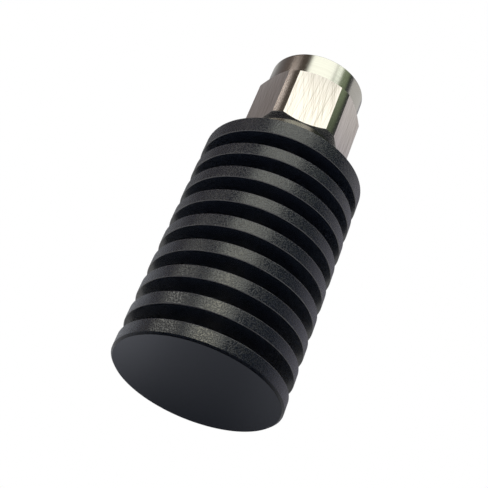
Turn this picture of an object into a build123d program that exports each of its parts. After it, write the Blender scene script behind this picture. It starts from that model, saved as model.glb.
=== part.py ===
"""Coaxial terminator: a finned cylindrical load behind a screw-on plug connector.

The part stands on the flat rear end of its heat sink. The origin is the centre of that end,
and +Z runs along the axis towards the connector. All lengths are in millimetres, and every
diameter and length below is the size of the real piece.
"""

from build123d import *
from math import radians, tan
import os

# Heat sink
SINK_DIAMETER = 32.0
CORE_DIAMETER = 20.0
FIN_COUNT = 9
FIN_THICKNESS = 2.6
GROOVE_WIDTH = 3.025
REAR_FIN_THICKNESS = 3.0
FRONT_FIN_THICKNESS = 3.4
REAR_EDGE_BREAK = 0.4
REAR_WALL = 6.0
LOAD_BORE_DIAMETER = 10.0

# Connector body
BOSS_DIAMETER = 14.0
BOSS_LENGTH = 8.8
BOSS_RUNOUT = 0.2
FLANGE_DIAMETER = 19.0
FLANGE_THICKNESS = 1.2
SLEEVE_DIAMETER = 14.0
SLEEVE_LENGTH = 10.4
LINE_BORE_DIAMETER = 7.0

# Sealing ring between the flange and the heat sink
SEAL_SECTION = 0.8
SEAL_SIDE_ROOM = 0.35

# Retaining ring of the coupling nut
RING_STATION = 4.5
RING_THICKNESS = 1.0
RING_WIDTH = 1.2
RING_SLOT_DEPTH = 0.75
RING_GAP_ANGLE = 50.0

# Coupling nut
NUT_LENGTH = 22.2
NUT_ACROSS_FLATS = 20.0
NUT_LAND_DIAMETER = 21.9
NUT_COLLAR_DIAMETER = 19.6
NUT_REAR_DIAMETER = 17.4
NUT_REAR_LAND_END = 5.2
NUT_LAND_LENGTH = 11.15
NUT_CHAMFER_ANGLE = 37.0
NUT_END_GAP = 0.3
NUT_THREAD_DIAMETER = 14.8
NUT_RELIEF_DEPTH = 0.7
NUT_RELIEF_LENGTH = 2.0
NUT_SHOULDER_ROOM = 0.3

# Gasket at the bottom of the coupling nut
GASKET_INNER_ROOM = 0.95
GASKET_OUTER_ROOM = 0.45
GASKET_THICKNESS = 1.6

# Outer contact
OUTER_CONTACT_WALL = 0.55
OUTER_CONTACT_REACH = 10.6
OUTER_CONTACT_ROOT_STEP = 0.75
OUTER_CONTACT_ROOT_LENGTH = 2.9
OUTER_CONTACT_SLOT_WIDTH = 0.4
OUTER_CONTACT_SLOT_LENGTH = 5.0
OUTER_CONTACT_EDGE_BREAK = 0.2

# Centre contact
LINE_DIAMETER = 3.04
PIN_DIAMETER = 1.65
PIN_RECESS = 5.26
PIN_LEAD = 0.6
PIN_TIP_BREAK = 0.4
CONTACT_NECK_DIAMETER = 2.6
CONTACT_TAIL = 2.0
CONTACT_SOCKET_DEPTH = 3.6
CONTACT_SOCKET_SLOT_WIDTH = 0.3

# Insulating beads
BEAD_SEAT_DEPTH = 0.8
BEAD_LENGTH = 2.5

# Load element
PLUG_LENGTH = 6.0
PLUG_SOCKET_DEPTH = 2.5
TAPER_REAR_DIAMETER = 4.6
TAPER_STEPS = 3
ROD_DIAMETER = 3.0
CAP_DIAMETER = 3.6
CAP_WALL = 1.0
CAP_OVERLAP = 2.0
STEM_DIAMETER = 1.2
STEM_LENGTH = 3.2
EXPANSION_GAP = 0.15

# Clearances, all radial unless the name says otherwise
RUNNING_CLEARANCE = 0.08
SEAT_CLEARANCE = 0.02
RING_AXIAL_CLEARANCE = 0.15
RING_RADIAL_CLEARANCE = 0.25

# Diameters that follow from the bores and walls above
OUTER_CONTACT_DIAMETER = LINE_BORE_DIAMETER + 2 * OUTER_CONTACT_WALL
OUTER_CONTACT_ROOT_DIAMETER = OUTER_CONTACT_DIAMETER + 2 * OUTER_CONTACT_ROOT_STEP
BEAD_DIAMETER = LINE_BORE_DIAMETER + 2 * BEAD_SEAT_DEPTH
NUT_RELIEF_DIAMETER = NUT_THREAD_DIAMETER + 2 * NUT_RELIEF_DEPTH
GASKET_INNER_DIAMETER = OUTER_CONTACT_DIAMETER + 2 * GASKET_INNER_ROOM
GASKET_OUTER_DIAMETER = NUT_THREAD_DIAMETER - 2 * GASKET_OUTER_ROOM

# Stations along the axis
SINK_LENGTH = (
    REAR_FIN_THICKNESS
    + (FIN_COUNT - 1) * GROOVE_WIDTH
    + (FIN_COUNT - 2) * FIN_THICKNESS
    + FRONT_FIN_THICKNESS
)
BOSS_REAR = SINK_LENGTH - BOSS_LENGTH
FLANGE_FRONT = SINK_LENGTH + FLANGE_THICKNESS
BODY_FRONT = FLANGE_FRONT + SLEEVE_LENGTH
RING_MIDDLE = FLANGE_FRONT + RING_STATION
NUT_REAR = FLANGE_FRONT + NUT_END_GAP
NUT_FRONT = NUT_REAR + NUT_LENGTH
NUT_SHOULDER = BODY_FRONT + NUT_SHOULDER_ROOM
ROOT_REAR = BODY_FRONT - OUTER_CONTACT_ROOT_LENGTH
REFERENCE_PLANE = BODY_FRONT + OUTER_CONTACT_REACH
PIN_SHOULDER = REFERENCE_PLANE - PIN_RECESS
PIN_TIP = REFERENCE_PLANE + PIN_LEAD
PLUG_FRONT = REAR_WALL + PLUG_LENGTH
CONTACT_REAR = BOSS_REAR - CONTACT_TAIL
REAR_CAP_REAR = PLUG_FRONT - PLUG_SOCKET_DEPTH
ROD_REAR = REAR_CAP_REAR + CAP_WALL
ROD_FRONT = CONTACT_REAR - EXPANSION_GAP - CAP_WALL


def turned(outline):
    """Solid turned about Z from a closed outline of (diameter, station) points."""
    points = [(diameter / 2, 0, station) for diameter, station in outline]
    return revolve(make_face(Polyline(*points, close=True)), Axis.Z)


def tube(outer, inner, rear, front):
    """Plain ring or tube between two stations."""
    return turned([(inner, rear), (outer, rear), (outer, front), (inner, front)])


def crossed_slots(width, reach, rear, front):
    """Two blades at right angles that slit a tube into four fingers."""
    middle = (rear + front) / 2
    blade = Box(reach, width, front - rear)
    return Pos(0, 0, middle) * (blade + Rot(0, 0, 90) * blade)


def seal_pocket():
    """Outer diameter and floor station of the recess under the flange."""
    diameter = BOSS_DIAMETER + 2 * (SEAL_SECTION + 2 * SEAL_SIDE_ROOM)
    floor = SINK_LENGTH - SEAL_SECTION
    return diameter, floor


def fin_outline():
    """Outer outline of the heat sink from its rear rim to its front rim."""
    outline = [(SINK_DIAMETER - 2 * REAR_EDGE_BREAK, 0), (SINK_DIAMETER, REAR_EDGE_BREAK)]
    front = REAR_FIN_THICKNESS
    for _ in range(FIN_COUNT - 1):
        rear = front + GROOVE_WIDTH
        outline += [(SINK_DIAMETER, front), (CORE_DIAMETER, front)]
        outline += [(CORE_DIAMETER, rear), (SINK_DIAMETER, rear)]
        front = rear + FIN_THICKNESS
    return outline + [(SINK_DIAMETER, SINK_LENGTH)]


def heat_sink():
    """Turned aluminium cylinder with deep grooves, a blind load bore and a tapped mouth."""
    pocket_diameter, pocket_floor = seal_pocket()
    mouth_floor = BOSS_REAR - BOSS_RUNOUT
    bore = [
        (pocket_diameter, SINK_LENGTH),
        (pocket_diameter, pocket_floor),
        (BOSS_DIAMETER, pocket_floor),
        (BOSS_DIAMETER, mouth_floor),
        (LOAD_BORE_DIAMETER, mouth_floor),
        (LOAD_BORE_DIAMETER, REAR_WALL),
        (0, REAR_WALL),
        (0, 0),
    ]
    return turned(fin_outline() + bore)


def connector_body():
    """Turned body: screwed boss, flange, and the sleeve that the coupling nut runs on."""
    boss = BOSS_DIAMETER - 2 * SEAT_CLEARANCE
    groove = ring_inner_diameter() - 2 * SEAT_CLEARANCE
    groove_half = RING_THICKNESS / 2 + SEAT_CLEARANCE
    outside = [
        (BEAD_DIAMETER, BOSS_REAR),
        (boss, BOSS_REAR),
        (boss, SINK_LENGTH),
        (FLANGE_DIAMETER, SINK_LENGTH),
        (FLANGE_DIAMETER, FLANGE_FRONT),
        (SLEEVE_DIAMETER, FLANGE_FRONT),
        (SLEEVE_DIAMETER, RING_MIDDLE - groove_half),
        (groove, RING_MIDDLE - groove_half),
        (groove, RING_MIDDLE + groove_half),
        (SLEEVE_DIAMETER, RING_MIDDLE + groove_half),
        (SLEEVE_DIAMETER, BODY_FRONT),
    ]
    inside = [
        (OUTER_CONTACT_ROOT_DIAMETER, BODY_FRONT),
        (OUTER_CONTACT_ROOT_DIAMETER, ROOT_REAR),
        (BEAD_DIAMETER, ROOT_REAR),
        (BEAD_DIAMETER, ROOT_REAR - BEAD_LENGTH),
        (LINE_BORE_DIAMETER, ROOT_REAR - BEAD_LENGTH),
        (LINE_BORE_DIAMETER, BOSS_REAR + BEAD_LENGTH),
        (BEAD_DIAMETER, BOSS_REAR + BEAD_LENGTH),
    ]
    return turned(outside + inside)


def sealing_ring():
    """Square-section rubber ring in the recess under the flange."""
    pocket_diameter, pocket_floor = seal_pocket()
    outer = pocket_diameter - 2 * SEAL_SIDE_ROOM
    return tube(outer, outer - 2 * SEAL_SECTION, pocket_floor, pocket_floor + SEAL_SECTION)


def ring_inner_diameter():
    """Bore of the retaining ring, set by how deep its slot is cut into the sleeve."""
    return SLEEVE_DIAMETER - 2 * RING_SLOT_DEPTH


def retaining_ring():
    """Open spring ring, half in the sleeve's slot and half in the nut's slot."""
    inner = ring_inner_diameter()
    section = Rectangle(RING_WIDTH, RING_THICKNESS)
    section = Plane.XZ * Pos(inner / 2 + RING_WIDTH / 2, RING_MIDDLE) * section
    return Rot(0, 0, RING_GAP_ANGLE / 2) * revolve(section, Axis.Z, 360 - RING_GAP_ANGLE)


def nut_blank():
    """Turned outside of the coupling nut: tapered rear collar, chamfered land, front collar."""
    land_height = (NUT_LAND_DIAMETER - NUT_COLLAR_DIAMETER) / 2
    chamfer_length = land_height * tan(radians(NUT_CHAMFER_ANGLE))
    rear_land = NUT_REAR + NUT_REAR_LAND_END
    front_land = rear_land + NUT_LAND_LENGTH
    outline = [
        (0, NUT_REAR),
        (NUT_REAR_DIAMETER, NUT_REAR),
        (NUT_COLLAR_DIAMETER, rear_land - chamfer_length),
        (NUT_LAND_DIAMETER, rear_land),
        (NUT_LAND_DIAMETER, front_land),
        (NUT_COLLAR_DIAMETER, front_land + chamfer_length),
        (NUT_COLLAR_DIAMETER, NUT_FRONT),
        (0, NUT_FRONT),
    ]
    return turned(outline)


def nut_bore():
    """Inside of the coupling nut: bearing bore, ring slot, thread relief, thread and mouth."""
    bearing = SLEEVE_DIAMETER + 2 * RUNNING_CLEARANCE
    slot = ring_inner_diameter() + 2 * RING_WIDTH + 2 * RING_RADIAL_CLEARANCE
    slot_half = RING_THICKNESS / 2 + RING_AXIAL_CLEARANCE
    outline = [
        (0, NUT_REAR),
        (bearing, NUT_REAR),
        (bearing, RING_MIDDLE - slot_half),
        (slot, RING_MIDDLE - slot_half),
        (slot, RING_MIDDLE + slot_half),
        (bearing, RING_MIDDLE + slot_half),
        (bearing, NUT_SHOULDER),
        (NUT_RELIEF_DIAMETER, NUT_SHOULDER),
        (NUT_RELIEF_DIAMETER, NUT_SHOULDER + NUT_RELIEF_LENGTH),
        (NUT_THREAD_DIAMETER, NUT_SHOULDER + NUT_RELIEF_LENGTH),
        (NUT_THREAD_DIAMETER, NUT_FRONT - NUT_RELIEF_DEPTH),
        (NUT_RELIEF_DIAMETER, NUT_FRONT),
        (0, NUT_FRONT),
    ]
    return turned(outline)


def coupling_nut():
    """Hexagon nut: the six flats end in arcs where the chamfers of the blank meet them."""
    flats = RegularPolygon(NUT_ACROSS_FLATS / 2, 6, major_radius=False)
    prism = Pos(0, 0, NUT_REAR) * extrude(flats, NUT_LENGTH)
    return nut_blank() & prism - nut_bore()


def gasket():
    """Flat rubber ring that the mating connector's rim is pressed against."""
    return tube(
        GASKET_OUTER_DIAMETER, GASKET_INNER_DIAMETER, BODY_FRONT, BODY_FRONT + GASKET_THICKNESS
    )


def outer_contact():
    """Slotted sleeve, screwed into the body, that clamps the front bead."""
    root = OUTER_CONTACT_ROOT_DIAMETER - 2 * SEAT_CLEARANCE
    outline = [
        (LINE_BORE_DIAMETER, ROOT_REAR),
        (root, ROOT_REAR),
        (root, BODY_FRONT),
        (OUTER_CONTACT_DIAMETER, BODY_FRONT),
        (OUTER_CONTACT_DIAMETER, REFERENCE_PLANE - OUTER_CONTACT_EDGE_BREAK),
        (OUTER_CONTACT_DIAMETER - 2 * OUTER_CONTACT_EDGE_BREAK, REFERENCE_PLANE),
        (LINE_BORE_DIAMETER, REFERENCE_PLANE),
    ]
    slots = crossed_slots(
        OUTER_CONTACT_SLOT_WIDTH,
        2 * OUTER_CONTACT_DIAMETER,
        REFERENCE_PLANE - OUTER_CONTACT_SLOT_LENGTH,
        REFERENCE_PLANE + OUTER_CONTACT_EDGE_BREAK,
    )
    return turned(outline) - slots


def centre_contact():
    """Stepped rod: pin in front, a neck in each bead, and a slit socket for the load's stem."""
    socket = STEM_DIAMETER + 2 * SEAT_CLEARANCE
    rear_neck = (BOSS_REAR, BOSS_REAR + BEAD_LENGTH)
    front_neck = (ROOT_REAR - BEAD_LENGTH, ROOT_REAR)
    outline = [(socket, CONTACT_REAR), (LINE_DIAMETER, CONTACT_REAR)]
    for rear, front in (rear_neck, front_neck):
        outline += [(LINE_DIAMETER, rear), (CONTACT_NECK_DIAMETER, rear)]
        outline += [(CONTACT_NECK_DIAMETER, front), (LINE_DIAMETER, front)]
    outline += [
        (LINE_DIAMETER, PIN_SHOULDER),
        (PIN_DIAMETER, PIN_SHOULDER),
        (PIN_DIAMETER, PIN_TIP - PIN_TIP_BREAK),
        (PIN_DIAMETER - PIN_TIP_BREAK, PIN_TIP),
        (0, PIN_TIP),
        (0, CONTACT_REAR + CONTACT_SOCKET_DEPTH),
        (socket, CONTACT_REAR + CONTACT_SOCKET_DEPTH),
    ]
    slots = crossed_slots(
        CONTACT_SOCKET_SLOT_WIDTH,
        2 * LINE_DIAMETER,
        CONTACT_REAR - CONTACT_TAIL,
        BOSS_REAR,
    )
    return turned(outline) - slots


def bead(rear):
    """Insulating disc that centres the inner conductor in the body."""
    return tube(
        BEAD_DIAMETER - 2 * SEAT_CLEARANCE,
        CONTACT_NECK_DIAMETER + 2 * SEAT_CLEARANCE,
        rear,
        rear + BEAD_LENGTH,
    )


def load_sleeve():
    """Outer conductor whose bore narrows in steps along the resistor towards the rear."""
    outer = LOAD_BORE_DIAMETER - 2 * SEAT_CLEARANCE
    step_length = (ROD_FRONT - PLUG_FRONT) / TAPER_STEPS
    step_width = (LINE_BORE_DIAMETER - TAPER_REAR_DIAMETER) / TAPER_STEPS
    outline = [(outer, PLUG_FRONT), (outer, BOSS_REAR), (LINE_BORE_DIAMETER, BOSS_REAR)]
    for step in range(TAPER_STEPS):
        front = ROD_FRONT - step * step_length
        diameter = LINE_BORE_DIAMETER - step * step_width
        outline += [(diameter, front), (diameter - step_width, front)]
    return turned(outline + [(TAPER_REAR_DIAMETER, PLUG_FRONT)])


def ground_plug():
    """Plug that closes the load bore and carries the rear end of the resistor."""
    outer = LOAD_BORE_DIAMETER - 2 * SEAT_CLEARANCE
    socket = CAP_DIAMETER + 2 * SEAT_CLEARANCE
    outline = [
        (0, REAR_WALL),
        (outer, REAR_WALL),
        (outer, PLUG_FRONT),
        (socket, PLUG_FRONT),
        (socket, REAR_CAP_REAR),
        (0, REAR_CAP_REAR),
    ]
    return turned(outline)


def resistor_rod():
    """Ceramic rod with the resistive film on its surface."""
    return Pos(0, 0, (ROD_REAR + ROD_FRONT) / 2) * Cylinder(ROD_DIAMETER / 2, ROD_FRONT - ROD_REAR)


def rear_cap():
    """Metal cup on the grounded end of the rod."""
    bore = ROD_DIAMETER + 2 * SEAT_CLEARANCE
    outline = [
        (0, REAR_CAP_REAR),
        (CAP_DIAMETER, REAR_CAP_REAR),
        (CAP_DIAMETER, ROD_REAR + CAP_OVERLAP),
        (bore, ROD_REAR + CAP_OVERLAP),
        (bore, ROD_REAR),
        (0, ROD_REAR),
    ]
    return turned(outline)


def front_cap():
    """Metal cup on the live end of the rod, with a stem that slides in the contact's socket."""
    bore = ROD_DIAMETER + 2 * SEAT_CLEARANCE
    face = ROD_FRONT + CAP_WALL
    outline = [
        (0, ROD_FRONT),
        (bore, ROD_FRONT),
        (bore, ROD_FRONT - CAP_OVERLAP),
        (CAP_DIAMETER, ROD_FRONT - CAP_OVERLAP),
        (CAP_DIAMETER, face),
        (STEM_DIAMETER, face),
        (STEM_DIAMETER, face + STEM_LENGTH),
        (0, face + STEM_LENGTH),
    ]
    return turned(outline)


def main():
    """Write one STEP file for each piece of the terminator."""
    pieces = {
        "heat_sink": heat_sink(),
        "connector_body": connector_body(),
        "sealing_ring": sealing_ring(),
        "retaining_ring": retaining_ring(),
        "coupling_nut": coupling_nut(),
        "gasket": gasket(),
        "outer_contact": outer_contact(),
        "centre_contact": centre_contact(),
        "rear_bead": bead(BOSS_REAR),
        "front_bead": bead(ROOT_REAR - BEAD_LENGTH),
        "load_sleeve": load_sleeve(),
        "ground_plug": ground_plug(),
        "resistor_rod": resistor_rod(),
        "rear_cap": rear_cap(),
        "front_cap": front_cap(),
    }
    os.makedirs("parts", exist_ok=True)
    for name, piece in pieces.items():
        export_step(piece, f"parts/{name}.step")


main()
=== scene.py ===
from math import cos, pi, radians, sin, tan
from typing import NamedTuple

import bmesh
import bpy
from bpy.props import FloatProperty, FloatVectorProperty, IntProperty, PointerProperty
from mathutils import Matrix, Vector


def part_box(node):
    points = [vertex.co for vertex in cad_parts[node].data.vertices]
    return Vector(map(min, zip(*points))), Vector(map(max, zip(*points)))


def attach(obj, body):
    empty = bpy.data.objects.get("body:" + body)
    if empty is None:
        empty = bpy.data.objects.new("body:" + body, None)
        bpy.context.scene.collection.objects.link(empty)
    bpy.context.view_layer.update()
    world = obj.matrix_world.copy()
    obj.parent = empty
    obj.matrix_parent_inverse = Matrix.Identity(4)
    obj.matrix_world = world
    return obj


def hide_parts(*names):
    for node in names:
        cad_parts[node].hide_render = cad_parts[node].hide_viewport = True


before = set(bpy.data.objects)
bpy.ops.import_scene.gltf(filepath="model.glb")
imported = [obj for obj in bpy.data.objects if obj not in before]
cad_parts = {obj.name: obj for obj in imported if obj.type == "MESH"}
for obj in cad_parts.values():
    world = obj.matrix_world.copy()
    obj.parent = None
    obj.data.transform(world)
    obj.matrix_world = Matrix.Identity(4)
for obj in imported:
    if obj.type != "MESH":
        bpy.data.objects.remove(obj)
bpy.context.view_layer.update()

bl_info = {
    "name": "Coaxial terminator",
    "version": (1, 0, 0),
    "blender": (4, 5, 0),
    "location": "3D View > Sidebar > Terminator",
    "description": "Dresses a finned coaxial load and sets up its studio floor, light and camera",
    "category": "Object",
}

MM = 0.001
LOAD, NUT = "load", "nut"

# Attributes of an outline's points
EDGE_BREAK, CUTS = "edge_break", "cuts"
# Points nearer than this are merged
MERGE_DISTANCE = 1e-7
# Two faces that meet at more than this have a sharp edge between them
SHARP_ANGLE = radians(12)
# Flat steps round each broken edge
BREAK_STEPS = 3
# How far a point may lie off the thread's bore and a face off the hexagon's flats, and how far
# the normal of a flat may lean
BORE_TOLERANCE, FLAT_TOLERANCE, LEAN_TOLERANCE = 0.01 * MM, 0.02 * MM, 0.001
# Inner radius of a hexagon as a share of its outer one
HEXAGON_INNER_SHARE = 3 ** 0.5 / 2
# Thread form, in pitches from the root's middle: flat root an eighth of the pitch wide and flat
# crest a quarter wide, flanks between
ROOT_EDGE, CREST_EDGE = 1 / 16, 3 / 8
# Length of a slitting blade in radii of the piece, which it crosses and stands out of
BLADE_REACH = 4
UP = (0.0, 0.0, 1.0)

# Middle of the heat sink, and how far from it the fins' edges get a painted highlight: both end rims
# get none
SINK_MIDDLE, HIGHLIGHT_REACH = 24.4 * MM, 23.6 * MM
# Radii between which blasting sets in
BLAST_START, BLAST_FULL = 12.0 * MM, 15.5 * MM
# Spacing of a lathe's tool marks
TOOL_MARK = 0.1 * MM
# How far the scratches on the nut's flats lean from its axis
SCRATCH_LEANS = [radians(lean) for lean in (2, -6, 9, 16)]
# Cell of the scratches' pattern: real ones are about 0.03 mm wide, these about 0.1 mm and up to
# 20 mm long
SCRATCH_CELL = (0.17 * MM, 24 * MM)

# Node kinds
MATH, VECTOR_MATH = "ShaderNodeMath", "ShaderNodeVectorMath"
COMBINE, SEPARATE = "ShaderNodeCombineXYZ", "ShaderNodeSeparateXYZ"
MAP_RANGE, NOISE, MAPPING = "ShaderNodeMapRange", "ShaderNodeTexNoise", "ShaderNodeMapping"
MIX, BUMP, PLACE = "ShaderNodeMix", "ShaderNodeBump", "ShaderNodeTexCoord"
MIX_SHADER, CLEAR, GLOW = "ShaderNodeMixShader", "ShaderNodeBsdfTransparent", "ShaderNodeEmission"
POSITION, MOVE = "GeometryNodeInputPosition", "GeometryNodeSetPosition"
ATTRIBUTE, PAINT = "GeometryNodeInputNamedAttribute", "GeometryNodeSetMaterial"
REALIZE, CUT = "GeometryNodeRealizeInstances", "GeometryNodeMeshBoolean"
# Socket kinds
FLOAT, INT, MATERIAL = "NodeSocketFloat", "NodeSocketInt", "NodeSocketMaterial"
SPIN_INPUTS = {"Segments": INT, "Path radius": FLOAT}


def linear(code):
    """RGBA in linear light from an sRGB hex code."""
    shares = [int(code[i:i + 2], 16) / 255 for i in (1, 3, 5)]
    return [s / 12.92 if s <= 0.04045 else ((s + 0.055) / 1.055) ** 2.4 for s in shares] + [1.0]


def darker(tone, share):
    """Tone at a share of its brightness."""
    return [share * part for part in tone[:3]] + [1.0]


def length(name, description, millimetres, low=0):
    """A length property with its default given in millimetres."""
    return FloatProperty(
        name=name, description=description, default=millimetres * MM, min=low, unit="LENGTH",
        precision=5,
    )


def angle(name, description, degrees):
    """An angle property with its default given in degrees."""
    return FloatProperty(
        name=name, description=description, default=radians(degrees), subtype="ANGLE",
        unit="ROTATION",
    )


def number(name, description, value):
    """A plain number property."""
    return FloatProperty(name=name, description=description, default=value, min=0)


def count(name, description, value):
    """A whole number property."""
    return IntProperty(name=name, description=description, default=value, min=1)


def colour(name, description, code):
    """A colour property with its default given as an sRGB hex code."""
    return FloatVectorProperty(
        name=name, description=description, default=linear(code), size=4, min=0, max=1,
        subtype="COLOR",
    )


class HeatSinkSizes(bpy.types.PropertyGroup):
    """Sizes of the turned heat sink."""

    fin_count: count("Fins", "Number of fins, the rear and front ones included", 9)
    rear_fin: length("Rear fin", "Thickness of the fin that the load stands on", 3.0)
    fin: length("Fin", "Thickness of each fin between the rear and the front one", 2.6)
    groove: length("Groove", "Width of each groove", 3.025)
    core_diameter: length("Core diameter", "Diameter at the bottom of the grooves", 20.0)
    edge_break: length("Edge break", "Rounding of the fins' edges left by blasting", 0.15)
    rear_edge_break: length("Rear edge break", "Chamfer round the rear end face", 0.4)
    rear_wall: length("Rear wall", "Solid metal behind the load's bore", 6.0)
    bore_diameter: length("Load bore", "Diameter of the bore that holds the load element", 10.0)
    mouth_diameter: length("Mouth diameter", "Diameter of the tapped mouth", 14.0)
    mouth_depth: length("Mouth depth", "Depth of the tapped mouth with its run-out", 9.0)
    pocket_diameter: length("Pocket diameter", "Diameter of the recess for the sealing ring", 17.0)
    pocket_depth: length("Pocket depth", "Depth of the recess for the sealing ring", 0.8)
    segments: count("Segments", "Facets round the heat sink", 240)


class NutSizes(bpy.types.PropertyGroup):
    """Sizes of the coupling nut."""

    collar_diameter: length("Collar diameter", "Diameter of the round collar at each end", 19.6)
    rear_diameter: length("Rear diameter", "Diameter at the rear end of the tapered collar", 17.4)
    rear_land_end: length("Rear land end", "From the nut's rear to where its corners are full", 5.2)
    land_length: length("Land length", "Length of the full corners", 11.15)
    chamfer: angle("Chamfer", "Slope of both chamfers against the nut's face", 37)
    edge_break: length("Edge break", "Rounding of the collars' edges", 0.15)
    flat_edge_break: length("Flat edge break", "Rounding at each flat's front end", 0.12)
    bearing_diameter: length("Bearing bore", "Bore that turns on the connector body", 14.16)
    slot_diameter: length("Ring slot", "Diameter of the slot for the retaining ring", 15.4)
    slot_width: length("Ring slot width", "Width of the slot for the retaining ring", 1.3)
    slot_station: length("Ring slot station", "Height of the slot's middle", 54.5)
    shoulder: length("Shoulder", "Height of the shoulder behind the gasket", 60.7)
    relief_diameter: length("Relief diameter", "Diameter of the thread's run-out groove", 16.2)
    relief_length: length("Relief length", "Length of the thread's run-out groove", 2.0)
    thread_minor: length("Thread minor diameter", "Diameter over the thread's crests", 14.8)
    thread_major: length("Thread major diameter", "Diameter at the thread's roots", 15.9)
    thread_pitch: length("Thread pitch", "Rise of the thread in one turn", 1.058)
    thread_rows: count("Thread rows", "Rows of facets in one turn of the thread", 14)
    segments: count("Segments", "Facets round the nut", 192)


class ConnectorSizes(bpy.types.PropertyGroup):
    """Sizes of the connector body, its contacts, the gasket and the bead."""

    boss_diameter: length("Boss diameter", "Diameter of the boss in the heat sink", 13.96)
    sleeve_diameter: length("Sleeve diameter", "Diameter that the nut turns on", 14.0)
    flange_thickness: length("Flange thickness", "Thickness of the flange", 1.2)
    ring_groove: length("Ring groove diameter", "Floor diameter of the ring's groove", 12.46)
    ring_groove_width: length("Ring groove width", "Width of the ring's groove", 1.04)
    ring_station: length("Ring station", "Height of the groove's middle", 54.5)
    line_bore: length("Line bore", "Bore of the coaxial line", 7.0)
    bead_seat: length("Bead seat", "Diameter of each bead's seat", 8.6)
    bead_length: length("Bead length", "Length of each insulating bead", 2.5)
    bead_bore: length("Bead bore", "Bore of each bead", 2.64)
    root_bore: length("Root bore", "Bore that takes the outer contact's root", 9.6)
    contact_diameter: length("Outer contact diameter", "Diameter of the outer contact", 8.1)
    contact_slot: length("Contact slot width", "Width of the outer contact's slots", 0.4)
    contact_slot_length: length("Contact slot length", "Length of the outer contact's slots", 5.0)
    contact_slots: count("Contact blades", "Cuts across the outer contact, two slots each", 2)
    line_diameter: length("Line diameter", "Diameter of the inner conductor", 3.04)
    neck_diameter: length("Neck diameter", "Diameter of the inner conductor in each bead", 2.6)
    pin_diameter: length("Pin diameter", "Diameter of the centre pin", 1.65)
    pin_shoulder: length("Pin shoulder", "Height of the shoulder behind the pin", 65.74)
    pin_tip_break: length("Pin tip break", "Length of the taper at the pin's tip", 0.4)
    socket_bore: length("Socket bore", "Bore of the rear socket", 1.24)
    socket_depth: length("Socket depth", "Depth of the rear socket", 3.6)
    socket_slot: length("Socket slot width", "Width of the rear socket's slits", 0.3)
    socket_slot_length: length("Socket slot length", "Length of the rear socket's slits", 2.0)
    gasket_bore: length("Gasket bore", "Bore of the gasket", 10.0)
    edge_break: length("Edge break", "Rounding of turned edges", 0.1)
    segments: count("Segments", "Facets round each piece", 128)


class FinishColours(bpy.types.PropertyGroup):
    """Colours of the finishes."""

    anodise: colour("Black anodise", "Dyed and sealed oxide", "#131823")
    anodise_grain: colour("Blasted grain", "Paler specks of the blasted surface", "#1B202B")
    # Painted highlight: a paler colour along the fins' rounded edges
    anodise_edge_highlight: colour("Painted edge highlight", "Painted highlight along the fins' edges", "#3C3C40")
    steel: colour("Steel", "Stainless steel, turned", "#DADAD6")
    steel_stain: colour("Steel stain", "Slightly darker tone along the tool marks", "#C9C5BF")
    milled_steel: colour("Milled steel", "The nut's flats", "#EFE8E6")
    scratch: colour("Scratch", "Darker tone in the scratches of the flats", "#C8C0B9")
    nickel: colour("Nickel", "Nickel plate", "#CFC9BC")
    gold: colour("Gold", "Gold plate", "#E8B95A")
    silicone: colour("Silicone rubber", "Red-brown silicone rubber", "#A04A33")
    nitrile: colour("Nitrile rubber", "Black rubber", "#141414")
    fluoropolymer: colour("PTFE", "Waxy white insulator", "#EDEBE4")
    bronze: colour("Bronze", "Spring bronze", "#B98A5A")
    brass: colour("Brass", "Bare brass", "#D9B36A")
    film: colour("Resistive film", "Dark film on ceramic", "#3A2F2B")
    tin: colour("Tin", "Tinned copper", "#C9C8C4")


class StageSettings(bpy.types.PropertyGroup):
    """Camera, light and floor."""

    camera_distance: length("Camera distance", "From the sight point to the camera", 209.5)
    sight_x: length("Sight point X", "Sideways place of the sight point", -1.62, low=-1)
    sight_y: length("Sight point Y", "Depth place of the sight point", 2.49, low=-1)
    sight_z: length("Sight point Z", "Height of the sight point", 32.04, low=-1)
    azimuth: angle("Azimuth", "Turn of the camera round the load", -0.32)
    elevation: angle("Elevation", "Height of the camera above the horizon", -32.03)
    roll: angle("Roll", "Lean of the camera about its line of sight", 22.43)
    lens: number("Lens", "Focal length in millimetres on a 36 mm sensor", 81.086)
    ambient: number("Ambient light", "Even light from all round", 0.55)
    floor_radius: length("Floor radius", "Radius of the studio floor", 1500)
    tent_radius: length("Tent radius", "Distance of the light tent from the load", 500)
    lamp_power: number("Lamp power", "Watts of the soft lamp overhead", 5.0)


def add_node(tree, kind, settings=(), inputs=()):
    """Add a node, set its properties, and set its inputs or link them to nodes or their sockets.

    Settings that are one word name the node's operation. A node given as an input is linked by
    its first output.
    """
    made = tree.nodes.new(kind)
    if isinstance(settings, str):
        settings = {"operation": settings}
    for key, value in dict(settings).items():
        setattr(made, key, value)
    for key, value in dict(inputs).items():
        if isinstance(value, bpy.types.Node):
            value = value.outputs[0]
        if isinstance(value, bpy.types.NodeSocket):
            tree.links.new(value, made.inputs[key])
        else:
            made.inputs[key].default_value = value
    return made


def new_tree(name, sockets):
    """Empty geometry tree with named inputs; gives the tree and its group input's sockets."""
    tree = bpy.data.node_groups.new(name, "GeometryNodeTree")
    tree.interface.new_socket("Outline", in_out="INPUT", socket_type="NodeSocketGeometry")
    for label, kind in sockets.items():
        tree.interface.new_socket(label, in_out="INPUT", socket_type=kind)
    tree.interface.new_socket("Geometry", in_out="OUTPUT", socket_type="NodeSocketGeometry")
    return tree, add_node(tree, "NodeGroupInput").outputs


def close_tree(tree, geometry, material):
    """End a tree in Realize Instances and Set Material."""
    real = add_node(tree, REALIZE, inputs={0: geometry})
    painted = add_node(tree, PAINT, inputs={"Geometry": real, "Material": material})
    add_node(tree, "NodeGroupOutput", inputs={"Geometry": painted})
    return tree


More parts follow.
